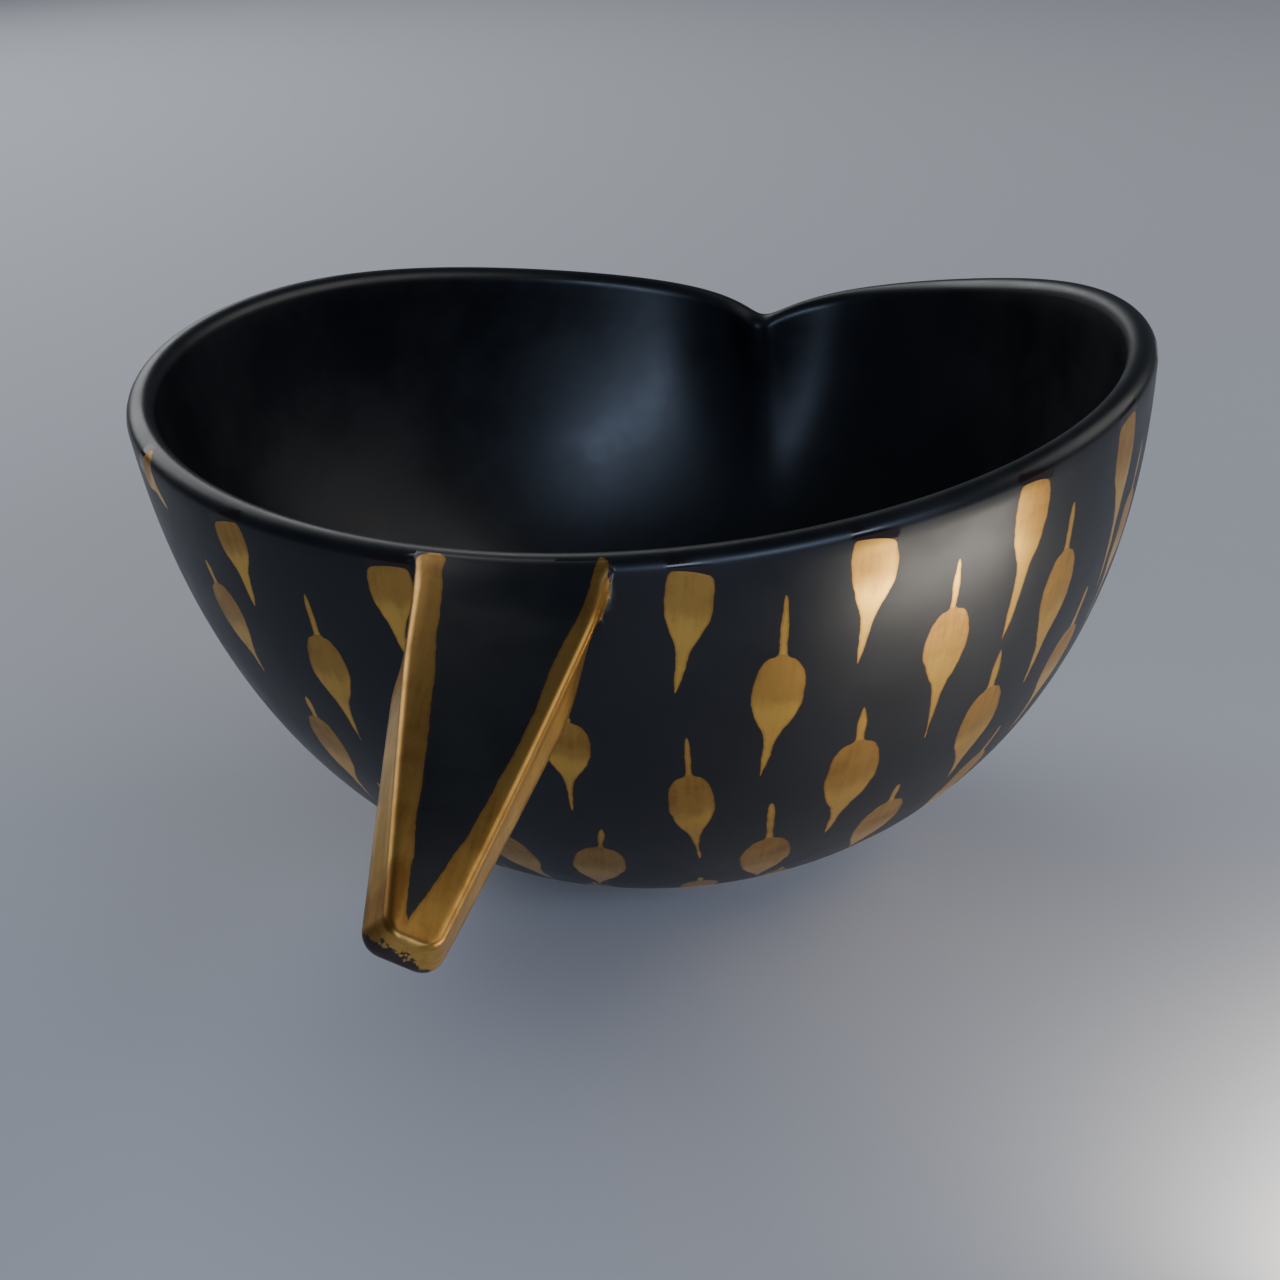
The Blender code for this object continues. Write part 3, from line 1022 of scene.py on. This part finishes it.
@dataclass(frozen=True)
class GoldOverGlaze:
    """Gold over the glaze, thin at its rim, with burnt glaze round it and pooled glaze beside it."""

    burnt: Colour = (0.022, 0.0055, 0.0030, 1.0)
    burnt_share: float = 0.8
    cap_share: float = 0.5
    rim_colour: Colour = GoldLustre.thin
    rim_share: float = 0.35
    pooled_rough: float = 0.14
    metallic: float = 0.95

    def group(self) -> bpy.types.NodeTree:
        """Shared group: colour, roughness and metal of the finished surface, given its layers."""
        layers = (("Glaze Colour", COLOUR), ("Gold Colour", COLOUR), ("Glaze Roughness", FLOAT))
        masks = tuple((name, FLOAT) for name in ("Gold Roughness", "Gold", "Burnt", "Rim", "Wear", "Cap"))
        finish = (("Colour", COLOUR), ("Roughness", FLOAT), ("Metallic", FLOAT))
        sheet, given, out = new_group("gold_over_glaze", layers + masks, finish)
        mask = sheet.times(given["Gold"], sheet.minus(1.0, given["Wear"]))
        rim = sheet.times(given["Rim"], self.rim_share)
        burnt = sheet.calc(
            "MAXIMUM", sheet.times(given["Burnt"], self.burnt_share),
            sheet.times(given["Cap"], self.cap_share),
        )
        base = sheet.mix(burnt, given["Glaze Colour"], self.burnt)
        rough = sheet.blend(given["Cap"], given["Glaze Roughness"], self.pooled_rough)
        lined = sheet.mix(rim, given["Gold Colour"], self.rim_colour)
        sheet.feed(out["Colour"], sheet.mix(mask, base, lined))
        sheet.feed(out["Roughness"], sheet.blend(mask, rough, given["Gold Roughness"]))
        sheet.feed(out["Metallic"], sheet.times(mask, self.metallic))
        return sheet.tree


@dataclass(frozen=True)
class DropLook:
    """How the gold lies in a painted drop, with lengths in millimetres.

    The body is thin above and full below. The cap is the pooled glaze above a blunt head, between
    places measured down from the head's top.
    """

    streaks_across: float = 0.9
    streaks_along: float = 0.07
    streaks_apart: float = 60.0
    beyond_ends: float = -2.0
    body_load: tuple[float, float] = (0.38, 1.0)
    body_change: tuple[float, float] = (0.35, 0.8)
    stem_load: float = 0.9
    stem_end: float = 0.96
    cap_start: tuple[float, float] = (-2.4, -1.0)
    cap_end: float = 0.4
    cap_side: float = 0.8


@dataclass(frozen=True)
class BorderLook:
    """How the gold lies on the handle and where it is worn off, with painted light and shade in it: the
    gold on the rounded edges and sides is painted brighter than on the flat top, and the left border is
    painted darker near the tip. Lengths are in millimetres.
    """

    streaks_across: float = 0.8
    streaks_along: float = 0.06
    # Painted light: the gold on the flat top is thin and brown, and on the rounded edges and sides full and
    # bright, for the sides catching more light than the top.
    shaded_top_tone: float = 0.35
    lit_side_tone: float = 0.80
    lit_side_start: tuple[float, float] = (0.4, 1.4)
    # Painted shade: the gold of the left border is made thinner and browner near the tip, for the shade on
    # the left side there.
    left_tip_shade: float = 0.55
    left_tip_shade_along: tuple[float, float] = (66.0, 76.0)
    left_tip_shade_across: tuple[float, float] = (-2.5, -4.5)
    ragged_scale: float = 500.0
    ragged: float = 1.3
    worn_down: float = 4.6
    worn_down_share: float = 0.8
    worn_along: float = 81.8
    worn_slant: float = 0.22
    worn_edge: tuple[float, float] = (-0.2, 0.3)


@dataclass(frozen=True)
class BareClay:
    """Unglazed fired clay."""

    dark: Colour = (0.16, 0.085, 0.05, 1.0)
    light: Colour = (0.30, 0.18, 0.11, 1.0)
    rough: float = 0.85
    grain_scale: float = 500.0
    bump: float = 0.0003


class SurfaceSet:
    """Makes the bowl's materials, which share the glaze, the gold and its brushed edge."""

    def __init__(self) -> None:
        self.glaze = BlackGlaze().group()
        self.gold = GoldLustre().group()
        self.edge = BrushEdge().group()
        self.layers = GoldOverGlaze().group()

    @staticmethod
    def start(name: str) -> tuple[bpy.types.Material, NodeSheet, Any]:
        """New material with its sheet and its shader's inputs."""
        material = bpy.data.materials.new(name)
        material.use_nodes = True
        return material, NodeSheet(material.node_tree), material.node_tree.nodes["Principled BSDF"].inputs

    def gild(
        self, sheet: NodeSheet, shader: Any, inside: Any, load: Any, path: Sequence[Any],
        wear: Any = 0.0, cap: Any = 0.0,
    ) -> None:
        """Lay gold on the glaze and feed the shader.

        Args:
            sheet: Sheet of the material.
            shader: Inputs of its Principled shader.
            inside: Distance inside the gold's edge, in millimetres.
            load: How thickly the gold is laid on, from 0 to 1. On the handle it also carries painted light
                and shade.
            path: Places across, along and apart from other paths of the brush, which set its streaks.
            wear: Share of the gold that is worn off.
            cap: Share of the glossy burnt glaze that is pooled beside the gold.
        """
        glaze = sheet.use(self.glaze)
        edge = sheet.use(self.edge, {"Inside": inside})
        gold = sheet.use(self.gold, {"Load": load, "Across": path[0], "Along": path[1], "Layer": path[2]})
        layers = {"Wear": wear, "Cap": cap} | {name: edge[name] for name in ("Gold", "Burnt", "Rim")}
        for name in ("Colour", "Roughness"):
            layers |= {f"Glaze {name}": glaze[name], f"Gold {name}": gold[name]}
        finish = sheet.use(self.layers, layers)
        sheet.feed(shader["Base Color"], finish["Colour"])
        sheet.feed(shader["Roughness"], finish["Roughness"])
        sheet.feed(shader["Metallic"], finish["Metallic"])
        sheet.feed(shader["Normal"], glaze["Normal"])

    def outside(self) -> bpy.types.Material:
        """Glaze of the outside, with the painted drops."""
        look = DropLook()
        material, sheet, shader = self.start("glaze_outside")
        share, across, half_width = sheet.parts("stroke")
        seed, kind, length = sheet.parts("stroke_look")
        body_start, body_end, bend = sheet.parts("stroke_form")
        stem = sheet.span(share, 0.0, body_start)
        body = sheet.span(share, body_start, body_end)
        tail = sheet.span(share, body_end, 1.0)
        reach = sheet.calc("DIVIDE", sheet.plus(sheet.plus(stem, body), tail), 3.0)
        width = sheet.blend(kind, sheet.curve(reach, BLUNT_WIDTHS), sheet.curve(reach, LEAF_WIDTHS))
        arch = sheet.times(sheet.times(share, sheet.minus(1.0, share)), 4.0)
        off = sheet.calc("ABSOLUTE", sheet.minus(across, sheet.times(arch, bend)))
        present = sheet.calc("LESS_THAN", sheet.calc("ABSOLUTE", sheet.minus(share, 0.5)), 0.5)
        inside = sheet.minus(sheet.times(width, half_width), off)
        inside = sheet.blend(present, look.beyond_ends, inside)
        down = sheet.times(share, length)
        path = (
            sheet.times(across, look.streaks_across),
            sheet.times(down, look.streaks_along),
            sheet.times(seed, look.streaks_apart),
        )
        load = sheet.calc(
            "MAXIMUM", sheet.ramp(body, *look.body_change, *look.body_load),
            sheet.ramp(stem, 1.0, look.stem_end, 0.0, look.stem_load),
        )
        behind = sheet.times(sheet.ramp(down, *look.cap_start), sheet.ramp(down, look.cap_end, 0.0))
        past = sheet.minus(sheet.calc("ABSOLUTE", across), half_width)
        beside = sheet.ramp(past, look.cap_side, -look.cap_side)
        cap = sheet.times(sheet.times(behind, beside), sheet.minus(1.0, kind))
        self.gild(sheet, shader, inside, load, path, cap=cap)
        return material

    def inside(self) -> bpy.types.Material:
        """Plain glaze of the inside."""
        material, sheet, shader = self.start("glaze_inside")
        glaze = sheet.use(self.glaze)
        sheet.feed(shader["Base Color"], glaze["Colour"])
        sheet.feed(shader["Roughness"], glaze["Roughness"])
        sheet.feed(shader["Normal"], glaze["Normal"])
        return material

    def handle(self) -> bpy.types.Material:
        """Glaze of the handle, with its gold borders, worn off at the tip, and painted light and shade in
        the gold.
        """
        look = BorderLook()
        material, sheet, shader = self.start("glaze_handle")
        outside, down, along = sheet.parts("slab")
        across, _, _ = sheet.parts("slab_side")
        path = (
            sheet.times(across, look.streaks_across),
            sheet.times(along, look.streaks_along),
            down,
        )
        # Painted shade: thinner, browner gold on the left border near the tip.
        left_tip_shade = sheet.times(
            sheet.ramp(along, *look.left_tip_shade_along),
            sheet.ramp(across, *look.left_tip_shade_across, 0.0, look.left_tip_shade),
        )
        # Painted light: the gold brightens from the flat top down onto the rounded edges and sides.
        side = sheet.ramp(down, *look.lit_side_start, look.shaded_top_tone, look.lit_side_tone)
        ragged = sheet.noise(sheet.place(), look.ragged_scale, 4.0, 0.7)
        ragged = sheet.ramp(ragged, *NOISE_RANGE, -look.ragged, look.ragged)
        low_end = sheet.times(sheet.minus(down, look.worn_down), look.worn_down_share)
        low_end = sheet.plus(low_end, sheet.minus(along, look.worn_along))
        low_end = sheet.minus(low_end, sheet.times(across, look.worn_slant))
        wear = sheet.ramp(sheet.plus(low_end, ragged), *look.worn_edge)
        # The painted light of the sides, less the painted shade near the tip, sets how full the gold looks.
        load = sheet.minus(side, left_tip_shade)
        self.gild(sheet, shader, sheet.times(outside, -1.0), load, path, wear)
        return material

    def foot(self) -> bpy.types.Material:
        """Bare fired clay of the underside."""
        clay = BareClay()
        material, sheet, shader = self.start("bare_clay")
        grain = sheet.noise(sheet.place(), clay.grain_scale, *CLOUDY)
        sheet.feed(shader["Base Color"], sheet.mix(grain, clay.dark, clay.light))
        shader["Roughness"].default_value = clay.rough
        sheet.feed(shader["Normal"], sheet.bump(grain, clay.bump))
        return material

    def all(self) -> list[bpy.types.Material]:
        """The materials in the order of Surface."""
        return [self.outside(), self.inside(), self.handle(), self.foot()]


class CeramicBowl:
    """The whole bowl as one piece of fired clay."""

    def __init__(self) -> None:
        self.form = BowlForm()
        self.body = BowlBody(self.form)
        self.tongue = TongueHandle(self.form)
        self.drops = PaintedDrops(self.form)
        self.borders = HandleBorders(self.tongue)

    def build(self) -> bpy.types.Object:
        """Join the handle to the body, paint the piece and give it to the frame."""
        surfaces = SurfaceSet().all()
        piece = self.body.build(surfaces)
        LOG.info("body: %d faces", len(piece.data.polygons))
        tongue = self.tongue.build(surfaces)
        LOG.info("handle: %d faces", len(tongue.data.polygons))
        join(piece, tongue)
        LOG.info("joined: %d faces", len(piece.data.polygons))
        self.borders.claim_lip(piece.data)
        self.drops.paint(piece.data)
        self.borders.paint(piece.data)
        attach(piece, "root")
        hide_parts("bowl")
        return piece


def join(piece: bpy.types.Object, addition: bpy.types.Object) -> None:
    """Make one closed skin of two overlapping objects, and drop the second one."""
    union = piece.modifiers.new("union", "BOOLEAN")
    union.operation = "UNION"
    union.solver = "EXACT"
    union.object = addition
    evaluated = piece.evaluated_get(bpy.context.evaluated_depsgraph_get())
    joined = bpy.data.meshes.new_from_object(evaluated)
    piece.modifiers.clear()
    old = piece.data
    name = old.name
    piece.data = joined
    bpy.data.meshes.remove(old)
    joined.name = name
    joined.shade_smooth()
    bpy.data.meshes.remove(addition.data)


@dataclass(frozen=True)
class SoftLight:
    """Rectangular light that faces the bowl. Its tilt turns it about the line to the bowl."""

    name: str
    place: Triple
    size: tuple[float, float]
    power: float
    colour: Triple
    tilt: float = 0.0


@dataclass(frozen=True)
class Studio:
    """Pale floor, soft light and the camera."""

    camera_place: Triple = (0.1532, -0.4670, 0.2395)
    camera_forward: Triple = (-0.3013, 0.8799, -0.3676)
    camera_roll: float = math.radians(3.23)
    lens: float = 67.5
    floor_size: float = 6.0
    floor_colour: Colour = (0.62, 0.63, 0.67, 1.0)
    floor_rough: float = 0.7
    world_colour: Colour = (0.72, 0.84, 1.0, 1.0)
    world_strength: float = 0.10
    lit_place: Triple = (0.0, 0.0, 0.06)
    lights: tuple[SoftLight, ...] = (
        SoftLight(
            "window_light", (0.64, -1.25, 0.60), (1.5, 0.22), 10.5, (0.54, 0.69, 1.0), math.radians(20.0)
        ),
        SoftLight("side_light", (1.25, 0.75, 0.95), (1.2, 1.0), 6.0, (1.0, 0.98, 0.95)),
        SoftLight("back_light", (-1.20, 0.90, 1.00), (1.4, 1.2), 13.0, (0.96, 0.98, 1.0)),
        SoftLight("low_light", (0.180, -0.09, 0.02), (0.13, 0.03), 0.15, (1.0, 0.92, 0.80)),
    )

    def build(self) -> None:
        """Set up the whole studio."""
        self.add_floor()
        self.add_world()
        for light in self.lights:
            self.add_light(light)
        self.add_camera()

    def add_floor(self) -> None:
        """Plain pale floor."""
        shape = bmesh.new()
        bmesh.ops.create_grid(shape, x_segments=1, y_segments=1, size=0.5 * self.floor_size)
        material = bpy.data.materials.new("pale_floor")
        material.use_nodes = True
        shader = material.node_tree.nodes["Principled BSDF"].inputs
        shader["Base Color"].default_value = self.floor_colour
        shader["Roughness"].default_value = self.floor_rough
        to_object(shape, "floor", (material,))

    def add_world(self) -> None:
        """Even light from all round."""
        world = bpy.data.worlds.new("studio")
        world.use_nodes = True
        back = world.node_tree.nodes["Background"].inputs
        back["Color"].default_value = self.world_colour
        back["Strength"].default_value = self.world_strength
        bpy.context.scene.world = world

    def add_light(self, light: SoftLight) -> None:
        """Put up one light."""
        glow = bpy.data.lights.new(light.name, "AREA")
        glow.shape = "RECTANGLE"
        glow.size, glow.size_y = light.size
        glow.energy = light.power
        glow.color = light.colour
        lamp = bpy.data.objects.new(light.name, glow)
        lamp.location = light.place
        aim = Vector(self.lit_place) - Vector(light.place)
        turned = aim.to_track_quat("-Z", "Y") @ Quaternion((0.0, 0.0, 1.0), light.tilt)
        lamp.rotation_euler = turned.to_euler()
        bpy.context.scene.collection.objects.link(lamp)

    def add_camera(self) -> None:
        """Camera at the photograph's place and angle."""
        forward = Vector(self.camera_forward).normalized()
        level = forward.cross(Vector((0.0, 0.0, 1.0))).normalized()
        upright = level.cross(forward)
        right = level * math.cos(self.camera_roll) - upright * math.sin(self.camera_roll)
        top = level * math.sin(self.camera_roll) + upright * math.cos(self.camera_roll)
        data = bpy.data.cameras.new("camera")
        data.lens = self.lens
        camera = bpy.data.objects.new("camera", data)
        turned = Matrix((right, top, -forward)).transposed().to_4x4()
        camera.matrix_world = Matrix.Translation(self.camera_place) @ turned
        bpy.context.scene.collection.objects.link(camera)
        bpy.context.scene.camera = camera


def main() -> None:
    """Build the bowl and the studio."""
    logging.basicConfig(level=logging.INFO, format="%(message)s")
    piece = CeramicBowl().build()
    triangles = sum(len(face.vertices) - 2 for face in piece.data.polygons)
    LOG.info("%s: %d triangles", piece.name, triangles)
    Studio().build()


if __name__ == "__main__":
    main()
